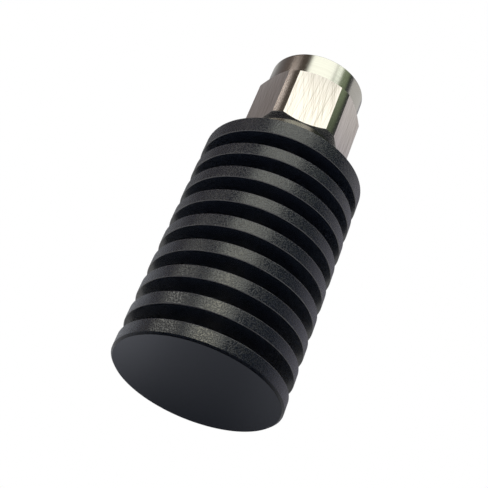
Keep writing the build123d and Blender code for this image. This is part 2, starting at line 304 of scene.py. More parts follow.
def spin_tree(name):
    """Tree that rounds the corners of a closed outline in the XZ plane and spins it about Z."""
    tree, given = new_tree(name, SPIN_INPUTS)
    cuts = add_node(tree, ATTRIBUTE, {"data_type": "INT"}, {"Name": CUTS})
    broken = add_node(tree, ATTRIBUTE, {"data_type": "FLOAT"}, {"Name": EDGE_BREAK})
    divided = add_node(
        tree, "GeometryNodeSubdivideCurve", inputs={"Curve": given["Outline"], "Cuts": cuts}
    )
    rounded = add_node(
        tree, "GeometryNodeFilletCurve", {"mode": "POLY"},
        {"Curve": divided, "Count": BREAK_STEPS, "Radius": broken, "Limit Radius": True},
    )
    parts = add_node(tree, SEPARATE, inputs={0: add_node(tree, POSITION)}).outputs
    across = add_node(tree, MATH, "SUBTRACT", {0: parts["X"], 1: given["Path radius"]})
    down = add_node(tree, MATH, "MULTIPLY", {0: parts["Z"], 1: -1.0})
    flat = add_node(tree, COMBINE, inputs={"X": across, "Y": down})
    profile = add_node(tree, MOVE, inputs={"Geometry": rounded, "Position": flat})
    path = add_node(
        tree, "GeometryNodeCurvePrimitiveCircle", {"mode": "RADIUS"},
        {"Resolution": given["Segments"], "Radius": given["Path radius"]},
    )
    spun = add_node(
        tree, "GeometryNodeCurveToMesh", inputs={"Curve": path, "Profile Curve": profile}
    )
    merged = add_node(
        tree, "GeometryNodeMergeByDistance", inputs={"Geometry": spun, "Distance": MERGE_DISTANCE}
    )
    add_node(tree, "NodeGroupOutput", inputs={"Geometry": merged})
    return tree


def spin(tree, curve, given):
    """Use the spinning tree inside another tree."""
    inputs = {"Outline": curve, **{label: given[label] for label in SPIN_INPUTS}}
    return add_node(tree, "GeometryNodeGroup", {"node_tree": shared_tree("Spin outline")}, inputs)


def spin_outline(tree, given):
    """Spin the outline that a tree is given."""
    curve = add_node(tree, "GeometryNodeMeshToCurve", inputs={0: given["Outline"]})
    return spin(tree, curve, given)


def turned_tree(name):
    """Tree of a plain turned piece."""
    tree, given = new_tree(name, {**SPIN_INPUTS, "Finish": MATERIAL})
    return close_tree(tree, spin_outline(tree, given), given["Finish"])


def finned_tree(name):
    """Tree of a turned piece whose outline gets a groove between each two fins."""
    lengths = ("Rear fin", "Fin", "Groove", "Outer radius", "Core radius", "Edge break")
    sockets = {**SPIN_INPUTS, "Finish": MATERIAL, "Fins": INT, **dict.fromkeys(lengths, FLOAT)}
    tree, given = new_tree(name, sockets)
    # A groove has four corners: outside, floor, floor and outside
    per_groove = 4.0
    grooves = add_node(tree, MATH, "SUBTRACT", {0: given["Fins"], 1: 1.0})
    corners = add_node(tree, MATH, "MULTIPLY", {0: grooves, 1: per_groove})
    line = add_node(tree, "GeometryNodeMeshLine", inputs={"Count": corners})
    index = add_node(tree, "GeometryNodeInputIndex")
    quarter = add_node(tree, MATH, "DIVIDE", {0: index, 1: per_groove})
    groove = add_node(tree, MATH, "FLOOR", {0: quarter})
    corner = add_node(tree, MATH, "FLOORED_MODULO", {0: index, 1: per_groove})
    past_first, past_second, past_third = [
        add_node(tree, MATH, "GREATER_THAN", {0: corner, 1: step + 0.5}) for step in range(3)
    ]
    at_floor = add_node(tree, MATH, "SUBTRACT", {0: past_first, 1: past_third})
    radius = add_node(
        tree, MAP_RANGE,
        inputs={"Value": at_floor, "To Min": given["Outer radius"], "To Max": given["Core radius"]},
    )
    pitch = add_node(tree, MATH, "ADD", {0: given["Fin"], 1: given["Groove"]})
    rise = add_node(tree, MATH, "MULTIPLY_ADD", {0: groove, 1: pitch, 2: given["Rear fin"]})
    station = add_node(tree, MATH, "MULTIPLY_ADD", {0: past_second, 1: given["Groove"], 2: rise})
    where = add_node(tree, COMBINE, inputs={"X": radius, "Z": station})
    cut = add_node(tree, MOVE, inputs={"Geometry": line, "Position": where})
    cut = add_node(
        tree, "GeometryNodeStoreNamedAttribute", {"data_type": "FLOAT", "domain": "POINT"},
        {"Geometry": cut, "Name": EDGE_BREAK, "Value": given["Edge break"]},
    )
    joined = add_node(tree, "GeometryNodeJoinGeometry")
    # Join Geometry puts the last link first, and the points' order is the outline's order
    for mesh in (given["Outline"], cut):
        points = add_node(tree, "GeometryNodeMeshToPoints", inputs={0: mesh})
        tree.links.new(points.outputs[0], joined.inputs[0])
    curve = add_node(tree, "GeometryNodePointsToCurves", inputs={0: joined})
    closed = add_node(tree, "GeometryNodeSetSplineCyclic", inputs={0: curve, "Cyclic": True})
    return close_tree(tree, spin(tree, closed, given), given["Finish"])


def nut_tree(name):
    """Tree of the coupling nut: a spun blank, its thread pressed outwards, cut by the hexagon."""
    lengths = (
        "Across flats", "Rear", "Front", "Thread minor radius", "Thread depth", "Thread pitch",
        "Thread rear", "Thread front",
    )
    finishes = {"Turned finish": MATERIAL, "Milled finish": MATERIAL}
    tree, given = new_tree(name, {**SPIN_INPUTS, **finishes, **dict.fromkeys(lengths, FLOAT)})
    blank = spin_outline(tree, given)
    place = add_node(tree, POSITION)
    parts = add_node(tree, SEPARATE, inputs={0: place}).outputs
    level = add_node(tree, COMBINE, inputs={"X": parts["X"], "Y": parts["Y"]})
    radius = add_node(tree, VECTOR_MATH, "LENGTH", {0: level}).outputs["Value"]
    outward = add_node(tree, VECTOR_MATH, "NORMALIZE", {0: level})
    # How far each point is from the middle of the thread's root, in pitches
    turn = add_node(tree, MATH, "ARCTAN2", {0: parts["Y"], 1: parts["X"]})
    turns = add_node(tree, MATH, "MULTIPLY", {0: turn, 1: 1 / (2 * pi)})
    rises = add_node(tree, MATH, "DIVIDE", {0: parts["Z"], 1: given["Thread pitch"]})
    phase = add_node(tree, MATH, "SUBTRACT", {0: rises, 1: turns})
    share = add_node(tree, MATH, "FRACT", {0: phase})
    off_root = add_node(tree, MATH, "SUBTRACT", {0: share, 1: 0.5})
    off_root = add_node(tree, MATH, "ABSOLUTE", {0: off_root})
    flank = add_node(
        tree, MAP_RANGE,
        inputs={
            "Value": off_root, "From Min": ROOT_EDGE, "From Max": CREST_EDGE,
            "To Min": given["Thread depth"], "To Max": 0.0,
        },
    )
    # The thread fades in and out over one pitch
    from_rear = add_node(tree, MATH, "SUBTRACT", {0: parts["Z"], 1: given["Thread rear"]})
    from_front = add_node(tree, MATH, "SUBTRACT", {0: given["Thread front"], 1: parts["Z"]})
    from_end = add_node(tree, MATH, "MINIMUM", {0: from_rear, 1: from_front})
    fade = add_node(tree, MAP_RANGE, inputs={"Value": from_end, "From Max": given["Thread pitch"]})
    near_bore = add_node(
        tree, MATH, "COMPARE", {0: radius, 1: given["Thread minor radius"], 2: BORE_TOLERANCE}
    )
    depth = add_node(tree, MATH, "MULTIPLY", {0: flank, 1: fade})
    push = add_node(tree, VECTOR_MATH, "SCALE", {0: outward, "Scale": depth})
    threaded = add_node(tree, MOVE, inputs={"Geometry": blank, "Selection": near_bore, "Offset": push})
    # Hexagon twice as long as the nut
    half_flats = add_node(tree, MATH, "MULTIPLY", {0: given["Across flats"], 1: 0.5})
    corner = add_node(tree, MATH, "DIVIDE", {0: half_flats, 1: HEXAGON_INNER_SHARE})
    long = add_node(tree, MATH, "SUBTRACT", {0: given["Front"], 1: given["Rear"]})
    through = add_node(tree, MATH, "MULTIPLY", {0: long, 1: 2.0})
    both = add_node(tree, MATH, "ADD", {0: given["Front"], 1: given["Rear"]})
    middle = add_node(tree, MATH, "MULTIPLY", {0: both, 1: 0.5})
    prism = add_node(
        tree, "GeometryNodeMeshCylinder", {"fill_type": "NGON"},
        {"Vertices": 6, "Radius": corner, "Depth": through},
    )
    lift = add_node(tree, COMBINE, inputs={"Z": middle})
    prism = add_node(tree, "GeometryNodeTransform", inputs={"Geometry": prism, "Translation": lift})
    cut = add_node(tree, CUT, {"operation": "INTERSECT", "solver": "EXACT"})
    for solid in (threaded, prism):
        tree.links.new(solid.outputs[0], cut.inputs["Mesh 2"])
    # The faces on the hexagon's sides get the milled finish
    facing = add_node(tree, "GeometryNodeInputNormal")
    reach = add_node(tree, VECTOR_MATH, "DOT_PRODUCT", {0: facing, 1: place}).outputs["Value"]
    on_flat = add_node(tree, MATH, "COMPARE", {0: reach, 1: half_flats, 2: FLAT_TOLERANCE})
    upright = add_node(tree, VECTOR_MATH, "DOT_PRODUCT", {0: facing, 1: UP}).outputs["Value"]
    level_face = add_node(tree, MATH, "COMPARE", {0: upright, 1: 0.0, 2: LEAN_TOLERANCE})
    milled = add_node(tree, MATH, "MULTIPLY", {0: on_flat, 1: level_face})
    real = add_node(tree, REALIZE, inputs={0: cut})
    turned = add_node(tree, PAINT, inputs={"Geometry": real, "Material": given["Turned finish"]})
    painted = add_node(
        tree, PAINT,
        inputs={"Geometry": turned, "Selection": milled, "Material": given["Milled finish"]},
    )
    add_node(tree, "NodeGroupOutput", inputs={"Geometry": painted})
    return tree


def slit_tree(name):
    """Tree of a turned piece slit by thin blades that cross at its axis."""
    lengths = ("Blade width", "Blade reach", "Blade rear", "Blade front")
    sockets = {**SPIN_INPUTS, "Finish": MATERIAL, "Blades": INT, **dict.fromkeys(lengths, FLOAT)}
    tree, given = new_tree(name, sockets)
    blank = spin_outline(tree, given)
    tall = add_node(tree, MATH, "SUBTRACT", {0: given["Blade front"], 1: given["Blade rear"]})
    size = add_node(
        tree, COMBINE, inputs={"X": given["Blade reach"], "Y": given["Blade width"], "Z": tall}
    )
    blade = add_node(tree, "GeometryNodeMeshCube", inputs={"Size": size})
    seat = add_node(tree, MATH, "MULTIPLY_ADD", {0: tall, 1: 0.5, 2: given["Blade rear"]})
    lift = add_node(tree, COMBINE, inputs={"Z": seat})
    points = add_node(
        tree, "GeometryNodePoints", inputs={"Count": given["Blades"], "Position": lift}
    )
    step = add_node(tree, MATH, "DIVIDE", {0: pi, 1: given["Blades"]})
    index = add_node(tree, "GeometryNodeInputIndex")
    turned = add_node(tree, MATH, "MULTIPLY", {0: index, 1: step})
    turn = add_node(tree, COMBINE, inputs={"Z": turned})
    blades = add_node(
        tree, "GeometryNodeInstanceOnPoints",
        inputs={"Points": points, "Instance": blade, "Rotation": turn},
    )
    real = add_node(tree, REALIZE, inputs={0: blades})
    cut = add_node(
        tree, CUT, {"operation": "DIFFERENCE", "solver": "EXACT"},
        {"Mesh 1": blank, "Mesh 2": real, "Self Intersection": True},
    )
    return close_tree(tree, cut, given["Finish"])


# Makers of the trees, by the trees' names
TREES = {
    "Spin outline": spin_tree,
    "Turned piece": turned_tree,
    "Finned piece": finned_tree,
    "Hexagon nut": nut_tree,
    "Slit piece": slit_tree,
}


def shared_tree(name):
    """Tree of a given name, made once."""
    return bpy.data.node_groups.get(name) or TREES[name](name)


def outline_object(name, points):
    """Object that holds an outline of (diameter, station, edge break, cuts) in the XZ plane."""
    mesh = bpy.data.meshes.new(name)
    corners = [(point[0] / 2, 0, point[1]) for point in points]
    edges = [(i, (i + 1) % len(points)) for i in range(len(points))]
    mesh.from_pydata(corners, edges, [])
    breaks = mesh.attributes.new(EDGE_BREAK, "FLOAT", "POINT")
    cuts = mesh.attributes.new(CUTS, "INT", "POINT")
    for i, point in enumerate(points):
        breaks.data[i].value, cuts.data[i].value = (*point[2:], 0, 0)[:2]
    host = bpy.data.objects.new(name, mesh)
    bpy.context.scene.collection.objects.link(host)
    return host


def grown(outline, tree_name, values):
    """Plain mesh that a tree makes from an outline."""
    tree = shared_tree(tree_name)
    host = outline_object("outline", outline)
    modifier = host.modifiers.new(tree.name, "NODES")
    modifier.node_group = tree
    sockets = {s.name: s.identifier for s in tree.interface.items_tree if s.in_out == "INPUT"}
    for label, value in values.items():
        modifier[sockets[label]] = value
    seen = host.evaluated_get(bpy.context.evaluated_depsgraph_get())
    mesh = bpy.data.meshes.new_from_object(seen)
    bpy.data.objects.remove(host)
    return mesh


def cleaned(mesh):
    """Close the mesh at its poles, turn its faces outwards and mark its sharp edges."""
    work = bmesh.new()
    work.from_mesh(mesh)
    bmesh.ops.remove_doubles(work, verts=work.verts, dist=MERGE_DISTANCE)
    bmesh.ops.dissolve_degenerate(work, dist=MERGE_DISTANCE, edges=work.edges)
    loose = [edge for edge in work.edges if not edge.link_faces]
    bmesh.ops.delete(work, geom=loose, context="EDGES")
    bmesh.ops.recalc_face_normals(work, faces=work.faces)
    for face in work.faces:
        face.smooth = True
    work.to_mesh(mesh)
    work.free()
    mesh.set_sharp_from_angle(angle=SHARP_ANGLE)
    return mesh


def ease_flats(mesh, radius, milled, above):
    """Round the edges where a finish's flats meet the turned surfaces, above a height."""
    work = bmesh.new()
    work.from_mesh(mesh)
    work.normal_update()
    rims = [
        edge for edge in work.edges
        if len(edge.link_faces) == 2
        and sum(face.material_index == milled for face in edge.link_faces) == 1
        and edge.calc_face_angle() > SHARP_ANGLE
        and min(corner.co.z for corner in edge.verts) > above
    ]
    bmesh.ops.bevel(
        work, geom=rims, offset=radius, offset_type="OFFSET", segments=BREAK_STEPS,
        profile=0.5, affect="EDGES", clamp_overlap=True,
    )
    work.to_mesh(mesh)
    work.free()


def add_piece(name, mesh, body, slot, *nodes):
    """Finished piece that rides on a body and stands for CAD nodes, which it hides; its slot is not
    used.
    """
    if not mesh.polygons:
        raise RuntimeError(f"{name} has no faces")
    mesh.name = name
    piece = bpy.data.objects.new(name, cleaned(mesh))
    bpy.context.scene.collection.objects.link(piece)
    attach(piece, body)
    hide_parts(*nodes)


def blank_material(name):
    """New material; gives it with its emptied tree."""
    material = bpy.data.materials.new(name)
    material.use_nodes = True
    material.node_tree.nodes.clear()
    return material, material.node_tree


def show(material, kind, inputs):
    """End a material's tree in one shader; gives the material."""
    surface = add_node(material.node_tree, kind, inputs=inputs)
    add_node(material.node_tree, "ShaderNodeOutputMaterial", inputs={"Surface": surface})
    return material


def anodised_aluminium(colours):
    """Black anodised aluminium, bead blasted: a blue-black satin with a slightly glinting grain.

    A painted highlight makes the colour paler where the surface turns round the fins' edges.
    Blasting leaves the level faces and the bottoms of the grooves smoother.
    """
    material, tree = blank_material("Black anodised aluminium")
    place = add_node(tree, PLACE).outputs
    # Blasting pits about 0.1 mm across, drawn twice as coarse, in clusters of 1.4 mm
    pits, clusters = [
        add_node(
            tree, NOISE,
            inputs={"Vector": place["Object"], "Scale": 1 / (cell * MM), "Detail": detail},
        )
        for cell, detail in ((0.25, 1.5), (1.4, 2.0))
    ]
    pale = add_node(tree, MAP_RANGE, inputs={"Value": pits, "From Min": 0.42, "From Max": 0.72})
    grained = add_node(
        tree, MIX, {"data_type": "RGBA"}, {0: pale, 6: colours.anodise, 7: colours.anodise_grain}
    )
    # Where a face leans, between level and upright, it is a fin's rounded edge
    tilt = add_node(tree, SEPARATE, inputs={0: place["Normal"]}).outputs["Z"]
    tilt = add_node(tree, MATH, "ABSOLUTE", {0: tilt})
    rest = add_node(tree, MATH, "SUBTRACT", {0: 1.0, 1: tilt})
    leaning = add_node(tree, MATH, "MULTIPLY", {0: tilt, 1: rest})
    height = add_node(tree, SEPARATE, inputs={0: place["Object"]}).outputs["Z"]
    between_rims = add_node(tree, MATH, "COMPARE", {0: height, 1: SINK_MIDDLE, 2: HIGHLIGHT_REACH})
    # Painted highlight: paler colour on the fins' rounded edges, kept off both end rims
    highlight_mask = add_node(tree, MATH, "MULTIPLY", {0: leaning, 1: between_rims})
    highlight_mask = add_node(tree, MAP_RANGE, inputs={"Value": highlight_mask, "From Min": 0.02, "From Max": 0.2})
    edged = add_node(
        tree, MIX, {"data_type": "RGBA"}, {0: highlight_mask, 6: grained.outputs[2], 7: colours.anodise_edge_highlight}
    )
    level = add_node(tree, VECTOR_MATH, "MULTIPLY", {0: place["Object"], 1: (1.0, 1.0, 0.0)})
    radius = add_node(tree, VECTOR_MATH, "LENGTH", {0: level}).outputs["Value"]
    outside = add_node(
        tree, MAP_RANGE,
        inputs={"Value": radius, "From Min": BLAST_START, "From Max": BLAST_FULL, "To Min": 0.15},
    )
    blasted = add_node(tree, MATH, "MULTIPLY", {0: rest, 1: outside})
    # Pits scatter the light that the spots between them mirror
    rough = add_node(tree, MATH, "MULTIPLY_ADD", {0: clusters, 1: 0.15, 2: pits})
    spread = add_node(
        tree, MAP_RANGE,
        inputs={"Value": rough, "From Min": 0.42, "From Max": 0.72, "To Min": 0.11, "To Max": -0.11},
    )
    gloss = add_node(tree, MATH, "MULTIPLY_ADD", {0: blasted, 1: spread, 2: 0.24})
    hollow = add_node(
        tree, MAP_RANGE, {"interpolation_type": "SMOOTHSTEP"},
        {"Value": pits, "From Min": 0.36, "From Max": 0.56},
    )
    depth = add_node(tree, MATH, "MULTIPLY", {0: hollow, 1: blasted})
    bump = add_node(
        tree, BUMP, inputs={"Height": depth, "Strength": 0.7, "Distance": 0.022 * MM}
    )
    inputs = {"Base Color": edged.outputs[2], "Roughness": gloss, "Normal": bump, "IOR": 1.76}
    return show(material, "ShaderNodeBsdfPrincipled", inputs)


def milled_steel(colours):
    """Stainless steel flats, milled and then rubbed: thin straight scratches that fan out."""
    material, tree = blank_material("Milled stainless steel")
    place = add_node(tree, PLACE).outputs
    level = add_node(tree, VECTOR_MATH, "CROSS_PRODUCT", {0: place["Normal"], 1: UP})
    across = add_node(tree, VECTOR_MATH, "DOT_PRODUCT", {0: level, 1: place["Object"]})
    along = add_node(tree, SEPARATE, inputs={0: place["Object"]}).outputs["Z"]
    on_flat = add_node(tree, COMBINE, inputs={"X": across.outputs["Value"], "Y": along})
    scale = (1 / SCRATCH_CELL[0], 1 / SCRATCH_CELL[1], 1.0)
    depth = 0.0
    for lean in SCRATCH_LEANS:
        turned = add_node(tree, MAPPING, inputs={"Vector": on_flat, "Rotation": (0.0, 0.0, lean)})
        stretched = add_node(tree, MAPPING, inputs={"Vector": turned, "Scale": scale})
        lines = add_node(
            tree, NOISE, {"noise_dimensions": "2D"},
            {"Vector": stretched, "Scale": 1.0, "Detail": 0.0},
        )
        cut = add_node(
            tree, MAP_RANGE, inputs={"Value": lines, "From Min": 0.6, "From Max": 0.78, "To Max": 0.5}
        )
        depth = add_node(tree, MATH, "ADD", {0: depth, 1: cut})
    tone = add_node(
        tree, MIX, {"data_type": "RGBA"}, {0: depth, 6: colours.milled_steel, 7: colours.scratch}
    )
    gloss = add_node(tree, MAP_RANGE, inputs={"Value": depth, "To Min": 0.28, "To Max": 0.38})
    bump = add_node(
        tree, BUMP, {"invert": True}, {"Height": depth, "Strength": 0.04, "Distance": 0.02 * MM}
    )
    inputs = {"Base Color": tone.outputs[2], "Metallic": 1.0, "Roughness": gloss, "Normal": bump}
    return show(material, "ShaderNodeBsdfPrincipled", inputs)


def marked(name, tone, shade, scale, gloss, relief, detail=3.0, metallic=1.0):
    """Finish whose tone and gloss follow faint marks.

    Scale is how many marks a metre holds along X, Y and Z. Gloss is the range of the roughness,
    and relief the strength of the bump and its height in millimetres.
    """
    material, tree = blank_material(name)
    place = add_node(tree, PLACE).outputs["Object"]
    stretched = add_node(tree, MAPPING, inputs={"Vector": place, "Scale": scale})
    marks = add_node(tree, NOISE, inputs={"Vector": stretched, "Scale": 1.0, "Detail": detail})
    mixed = add_node(tree, MIX, {"data_type": "RGBA"}, {0: marks, 6: tone, 7: shade})
    ends = {"From Min": 0.3, "From Max": 0.7, "To Min": gloss[0], "To Max": gloss[1]}
    rough = add_node(tree, MAP_RANGE, inputs={"Value": marks, **ends})
    bump = add_node(
        tree, BUMP, inputs={"Height": marks, "Strength": relief[0], "Distance": relief[1] * MM}
    )
    inputs = {
        "Base Color": mixed.outputs[2], "Metallic": metallic, "Roughness": rough, "Normal": bump,
    }
    return show(material, "ShaderNodeBsdfPrincipled", inputs)


def turned_steel(colours):
    """Stainless steel straight from the lathe: bright, with fine rings that stretch reflections.

    The tool marks are drawn twice as coarse as the real ones.
    """
    return marked(
        "Turned stainless steel", colours.steel, colours.steel_stain,
        scale=(20.0, 20.0, 1 / TOOL_MARK), gloss=(0.13, 0.2), relief=(0.15, 0.01),
    )


def turned_metal(name, tone, roughness=0.2):
    """Plated or bare turned metal: satin, with faint rings along its axis."""
    return marked(
        name, tone, darker(tone, 0.86), scale=(30.0, 30.0, 1 / TOOL_MARK),
        gloss=(roughness, roughness + 0.08), relief=(0.1, 0.01), detail=2.0,
    )


def moulded(name, tone, roughness, grain):
    """Rubber, plastic or ceramic: matt, with a faint mottling of a given grain in millimetres."""
    return marked(
        name, tone, darker(tone, 0.8), scale=3 * (1 / (grain * MM),),
        gloss=(roughness, roughness + 0.1), relief=(0.15, 0.02), metallic=0.0,
    )


class TERMINATOR_OT_heat_sink(bpy.types.Operator):
    """Make the black finned heat sink"""

    bl_idname = "terminator.heat_sink"
    bl_label = "Heat sink"

    def execute(self, context):
        sizes = context.scene.terminator_heat_sink
        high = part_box("heat_sink")[1]
        pocket_floor = high.z - sizes.pocket_depth
        mouth_floor = high.z - sizes.mouth_depth
        outline = [
            (2 * high.x, high.z, sizes.edge_break),
            (sizes.pocket_diameter, high.z),
            (sizes.pocket_diameter, pocket_floor),
            (sizes.mouth_diameter, pocket_floor),
            (sizes.mouth_diameter, mouth_floor),
            (sizes.bore_diameter, mouth_floor),
            (sizes.bore_diameter, sizes.rear_wall),
            (0, sizes.rear_wall),
            (0, 0),
            (2 * (high.x - sizes.rear_edge_break), 0),
            (2 * high.x, sizes.rear_edge_break),
        ]
        values = {
            "Segments": sizes.segments,
            "Path radius": high.x,
            "Finish": anodised_aluminium(context.scene.terminator_colours),
            "Fins": sizes.fin_count,
            "Rear fin": sizes.rear_fin,
            "Fin": sizes.fin,
            "Groove": sizes.groove,
            "Outer radius": high.x,
            "Core radius": sizes.core_diameter / 2,
            "Edge break": sizes.edge_break,
        }
        mesh = grown(outline, "Finned piece", values)
        add_piece("finned_cylinder", mesh, LOAD, "anodised_aluminium", "heat_sink")
        return {"FINISHED"}


class TERMINATOR_OT_coupling_nut(bpy.types.Operator):
    """Make the hexagonal coupling nut with its thread"""

    bl_idname = "terminator.coupling_nut"
    bl_label = "Coupling nut"

    def execute(self, context):
        sizes, colours = context.scene.terminator_nut, context.scene.terminator_colours
        low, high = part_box("coupling_nut")
        land = 2 * high.x
        chamfer_length = (land - sizes.collar_diameter) / 2 * tan(sizes.chamfer)
        rear_land = low.z + sizes.rear_land_end
        front_land = rear_land + sizes.land_length
        slot_rear = sizes.slot_station - sizes.slot_width / 2
        slot_front = sizes.slot_station + sizes.slot_width / 2
        thread_rear = sizes.shoulder + sizes.relief_length
        thread_front = high.z - (sizes.relief_diameter - sizes.thread_minor) / 2
        rows = round((thread_front - thread_rear) / sizes.thread_pitch * sizes.thread_rows)
        outline = [
            (sizes.rear_diameter, low.z, sizes.edge_break),
            (sizes.collar_diameter, rear_land - chamfer_length),
            (land, rear_land),
            (land, front_land),
            (sizes.collar_diameter, front_land + chamfer_length),
            (sizes.collar_diameter, high.z, sizes.edge_break),
            (sizes.relief_diameter, high.z),
            (sizes.thread_minor, thread_front, 0, rows),
            (sizes.thread_minor, thread_rear),
            (sizes.relief_diameter, thread_rear),
            (sizes.relief_diameter, sizes.shoulder),
            (sizes.bearing_diameter, sizes.shoulder),
            (sizes.bearing_diameter, slot_front),
            (sizes.slot_diameter, slot_front),
            (sizes.slot_diameter, slot_rear),
            (sizes.bearing_diameter, slot_rear),
            (sizes.bearing_diameter, low.z),
        ]
        values = {
            "Segments": sizes.segments,
            "Path radius": high.x,
            "Turned finish": turned_steel(colours),
            "Milled finish": milled_steel(colours),
            "Across flats": high.y - low.y,
            "Rear": low.z,
            "Front": high.z,
            "Thread minor radius": sizes.thread_minor / 2,
            "Thread depth": (sizes.thread_major - sizes.thread_minor) / 2,
            "Thread pitch": sizes.thread_pitch,
            "Thread rear": thread_rear,
            "Thread front": thread_front,
        }
        mesh = cleaned(grown(outline, "Hexagon nut", values))
        milled = mesh.materials.find("Milled stainless steel")
        ease_flats(mesh, sizes.flat_edge_break, milled, front_land)
        add_piece("hexagon_nut", mesh, NUT, "stainless_steel", "coupling_nut")
        return {"FINISHED"}


class TERMINATOR_OT_connector_body(bpy.types.Operator):
    """Make the connector body with its flange and sleeve"""

    bl_idname = "terminator.connector_body"
    bl_label = "Connector body"

    def execute(self, context):
        sizes, colours = context.scene.terminator_connector, context.scene.terminator_colours
        low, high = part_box("connector_body")
        flange_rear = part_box("heat_sink")[1].z
        flange_front = flange_rear + sizes.flange_thickness
        root_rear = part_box("outer_contact")[0].z
        half = sizes.ring_groove_width / 2
        outline = [
            (sizes.bead_seat, low.z),
            (sizes.boss_diameter, low.z, sizes.edge_break),
            (sizes.boss_diameter, flange_rear),
            (2 * high.x, flange_rear, sizes.edge_break),
            (2 * high.x, flange_front, sizes.edge_break),
            (sizes.sleeve_diameter, flange_front),
            (sizes.sleeve_diameter, sizes.ring_station - half),
            (sizes.ring_groove, sizes.ring_station - half),
            (sizes.ring_groove, sizes.ring_station + half),
            (sizes.sleeve_diameter, sizes.ring_station + half),
            (sizes.sleeve_diameter, high.z, sizes.edge_break),
            (sizes.root_bore, high.z),
            (sizes.root_bore, root_rear),
            (sizes.bead_seat, root_rear),
            (sizes.bead_seat, root_rear - sizes.bead_length),
            (sizes.line_bore, root_rear - sizes.bead_length),
            (sizes.line_bore, low.z + sizes.bead_length),
            (sizes.bead_seat, low.z + sizes.bead_length),
        ]
        values = {
            "Segments": sizes.segments,
            "Path radius": high.x,
            "Finish": turned_metal("Nickel plated brass", colours.nickel),
        }
        mesh = grown(outline, "Turned piece", values)
        add_piece("connector_shell", mesh, LOAD, "nickel_plated_brass", "connector_body")
        return {"FINISHED"}


class TERMINATOR_OT_contacts(bpy.types.Operator):
    """Make the slotted outer contact and the centre contact with its pin"""

    bl_idname = "terminator.contacts"
    bl_label = "Contacts"

    def execute(self, context):
        sizes, colours = context.scene.terminator_connector, context.scene.terminator_colours
        low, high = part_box("outer_contact")
        body_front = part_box("connector_body")[1].z
        outline = [
            (sizes.line_bore, low.z),
            (2 * high.x, low.z),
            (2 * high.x, body_front),
            (sizes.contact_diameter, body_front),
            (sizes.contact_diameter, high.z, 2 * sizes.edge_break),
            (sizes.line_bore, high.z, sizes.edge_break),
        ]
        values = {
            "Segments": sizes.segments,
            "Path radius": high.x,
            "Finish": turned_metal("Nickel plated contact", colours.nickel, roughness=0.16),
            "Blades": sizes.contact_slots,
            "Blade width": sizes.contact_slot,
            "Blade reach": BLADE_REACH * high.x,
            "Blade rear": high.z - sizes.contact_slot_length,
            "Blade front": high.z + sizes.contact_slot_length,
        }
        mesh = grown(outline, "Slit piece", values)
        add_piece("slotted_contact", mesh, LOAD, "nickel_plated_brass", "outer_contact")

        low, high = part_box("centre_contact")
        boss_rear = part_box("connector_body")[0].z
        root_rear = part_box("outer_contact")[0].z
        necks = [
            (boss_rear, boss_rear + sizes.bead_length), (root_rear - sizes.bead_length, root_rear)
        ]
        outline = [(sizes.socket_bore, low.z), (sizes.line_diameter, low.z)]
        for rear, front in necks:
            outline += [(sizes.line_diameter, rear), (sizes.neck_diameter, rear)]
            outline += [(sizes.neck_diameter, front), (sizes.line_diameter, front)]
        outline += [
            (sizes.line_diameter, sizes.pin_shoulder, sizes.edge_break),
            (sizes.pin_diameter, sizes.pin_shoulder),
            (sizes.pin_diameter, high.z - sizes.pin_tip_break, sizes.pin_tip_break),
            (sizes.pin_diameter - sizes.pin_tip_break, high.z, sizes.edge_break),
            (0, high.z),
            (0, low.z + sizes.socket_depth),
            (sizes.socket_bore, low.z + sizes.socket_depth),
        ]
        values = {
            "Segments": sizes.segments,
            "Path radius": high.x,
            "Finish": turned_metal("Gold plate", colours.gold, roughness=0.14),
            "Blades": sizes.contact_slots,
            "Blade width": sizes.socket_slot,
            "Blade reach": BLADE_REACH * high.x,
            "Blade rear": low.z - sizes.socket_slot_length,
            "Blade front": low.z + sizes.socket_slot_length,
        }
        mesh = grown(outline, "Slit piece", values)
        add_piece("centre_pin", mesh, LOAD, "gold_plate", "centre_contact")
        return {"FINISHED"}


class TERMINATOR_OT_gasket_and_bead(bpy.types.Operator):
    """Make the rubber gasket and the front insulating bead"""

    bl_idname = "terminator.gasket_and_bead"
    bl_label = "Gasket and bead"

    def execute(self, context):
        sizes, colours = context.scene.terminator_connector, context.scene.terminator_colours
        rubber = moulded("Silicone rubber", colours.silicone, roughness=0.5, grain=0.5)
        plastic = moulded("Turned PTFE", colours.fluoropolymer, roughness=0.4, grain=0.8)
        for node, name, slot, bore, finish in (
            ("gasket", "flat_gasket", "silicone_rubber", sizes.gasket_bore, rubber),
            ("front_bead", "front_insulator", "ptfe", sizes.bead_bore, plastic),
        ):
            low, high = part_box(node)
            outline = [
                (bore, low.z),
                (2 * high.x, low.z, sizes.edge_break),
                (2 * high.x, high.z, sizes.edge_break),
                (bore, high.z, sizes.edge_break),
            ]
            values = {"Segments": sizes.segments, "Path radius": high.x, "Finish": finish}
            mesh = grown(outline, "Turned piece", values)
            add_piece(name, mesh, LOAD, slot, node)
        return {"FINISHED"}


class TERMINATOR_OT_inner_finishes(bpy.types.Operator):
    """Give the pieces inside the load their finishes"""

    bl_idname = "terminator.inner_finishes"
    bl_label = "Inner finishes"

    def execute(self, context):
        colours = context.scene.terminator_colours
        brass = turned_metal("Bare brass", colours.brass)
        tin = turned_metal("Tinned copper", colours.tin, roughness=0.28)
        finishes = {
            "sealing_ring": moulded("Nitrile rubber", colours.nitrile, 0.5, 0.4),
            "retaining_ring": turned_metal("Spring bronze", colours.bronze),
            "rear_bead": moulded("Turned PTFE bead", colours.fluoropolymer, 0.4, 0.8),
            "load_sleeve": brass,
            "ground_plug": brass,
            "resistor_rod": moulded("Film on ceramic", colours.film, 0.45, 0.3),
            "rear_cap": tin,
            "front_cap": tin,
        }
        for node, finish in finishes.items():
            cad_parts[node].material_slots[0].material = finish
        return {"FINISHED"}


